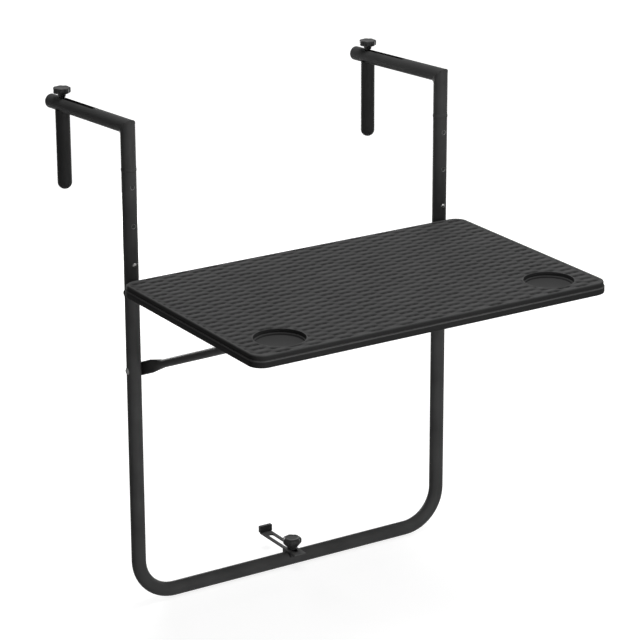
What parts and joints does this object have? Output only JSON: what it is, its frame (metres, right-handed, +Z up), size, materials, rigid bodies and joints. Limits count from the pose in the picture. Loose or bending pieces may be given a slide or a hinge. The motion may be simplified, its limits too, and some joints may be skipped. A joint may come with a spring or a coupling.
{
  "type": "balcony railing bar table",
  "caption": "Folding bar table that hooks over a balcony railing: moulded top with cup recesses on a U-shaped tube frame with height-adjustable hooks and a brace.",
  "frame": {"origin": "top of the railing: midway between the hooks, in the plane of the leg axes, level with the underside of the hook arms at the legs", "axes": "+Z up, +Y from the user towards the railing, +X to the user's right"},
  "size_m": [0.6, 0.6356, 0.7618],
  "materials": {
    "powder_coated_steel": "black powder coat, satin with a fine texture",
    "moulded_top": "charcoal moulded plastic with a woven relief",
    "black_plastic": "moulded, matt",
    "knob_plastic": "moulded, satin",
    "washer_nylon": "moulded, smooth",
    "zinc_plated_steel": "bright zinc plate",
    "bright_steel": "turned and polished",
    "spring_steel": "oiled spring steel"
  },
  "bodies": {
    "frame": {"u_frame": "powder_coated_steel", "pivot_bolts": "zinc_plated_steel", "pivot_nuts": "zinc_plated_steel", "pivot_washers": "washer_nylon", "brace_rivets": "zinc_plated_steel", "brace_washers": "washer_nylon", "bar_insert": "zinc_plated_steel", "spacer_saddle": "black_plastic"},
    "table": {"tabletop": "moulded_top", "left_hinge_bracket": "powder_coated_steel", "right_hinge_bracket": "powder_coated_steel", "bracket_screws": "zinc_plated_steel", "left_brace_catch": "black_plastic", "right_brace_catch": "black_plastic", "catch_screws": "zinc_plated_steel"},
    "brace": {"brace": "powder_coated_steel"},
    "spacer": {"spacer_strip": "black_plastic", "spacer_pad": "black_plastic"},
    "spacer_knob": {"spacer_knob": "knob_plastic", "spacer_screw": "zinc_plated_steel"},
    "left_hook": {"left_hook_tube": "powder_coated_steel", "left_arm_plug": "black_plastic", "left_button_spring": "spring_steel"},
    "left_button": {"left_snap_button": "bright_steel"},
    "left_finger": {"left_finger_tube": "powder_coated_steel", "left_finger_tip": "black_plastic", "left_finger_insert": "black_plastic"},
    "left_finger_knob": {"left_finger_knob": "knob_plastic", "left_finger_screw": "zinc_plated_steel"},
    "right_hook": {"right_hook_tube": "powder_coated_steel", "right_arm_plug": "black_plastic", "right_button_spring": "spring_steel"},
    "right_button": {"right_snap_button": "bright_steel"},
    "right_finger": {"right_finger_tube": "powder_coated_steel", "right_finger_tip": "black_plastic", "right_finger_insert": "black_plastic"},
    "right_finger_knob": {"right_finger_knob": "knob_plastic", "right_finger_screw": "zinc_plated_steel"}
  },
  "joints": [
    {"name": "table_fold", "type": "hinge", "parent": "frame", "child": "table", "pos_m": [0, 0, -0.239], "axis": [1, 0, 0], "range_deg": [0, 88]},
    {"name": "brace_swing", "type": "hinge", "parent": "frame", "child": "brace", "pos_m": [0, 0, -0.36], "axis": [1, 0, 0], "range_deg": [0, 113.3]},
    {"name": "spacer_slide", "type": "slide", "parent": "frame", "child": "spacer", "axis": [0, 1, 0], "range_m": [-0.0621, 0.0105]},
    {"name": "spacer_knob_turn", "type": "hinge", "parent": "frame", "child": "spacer_knob", "pos_m": [0, 0, -0.715], "axis": [0, 0, 1], "continuous": true},
    {"name": "left_hook_height", "type": "slide", "parent": "frame", "child": "left_hook", "axis": [0, 0, 1], "range_m": [0, 0.117], "deforming": ["left_snap_button"]},
    {"name": "left_button_press", "type": "slide", "parent": "left_hook", "child": "left_button", "axis": [0, 1, 0], "range_m": [0, 0.005], "stiffness_N_per_m": 400, "springref_m": -0.001, "deforming": ["left_button_spring"]},
    {"name": "left_finger_slide", "type": "slide", "parent": "left_hook", "child": "left_finger", "axis": [0, 0.9981, -0.061], "range_m": [-0.1014, 0.0015]},
    {"name": "left_finger_knob_turn", "type": "hinge", "parent": "left_finger", "child": "left_finger_knob", "pos_m": [-0.272, 0.20202, -0.00136], "axis": [0, 0, 1], "continuous": true},
    {"name": "right_hook_height", "type": "slide", "parent": "frame", "child": "right_hook", "axis": [0, 0, 1], "range_m": [0, 0.117], "deforming": ["right_snap_button"]},
    {"name": "right_button_press", "type": "slide", "parent": "right_hook", "child": "right_button", "axis": [0, 1, 0], "range_m": [0, 0.005], "stiffness_N_per_m": 400, "springref_m": -0.001, "deforming": ["right_button_spring"]},
    {"name": "right_finger_slide", "type": "slide", "parent": "right_hook", "child": "right_finger", "axis": [0, 0.9981, -0.061], "range_m": [-0.1014, 0.0015]},
    {"name": "right_finger_knob_turn", "type": "hinge", "parent": "right_finger", "child": "right_finger_knob", "pos_m": [0.272, 0.20202, -0.00136], "axis": [0, 0, 1], "continuous": true}
  ],
  "couplings": [
    {"joint": "brace_swing", "follows": "table_fold", "ratio": 1.2858}
  ]
}
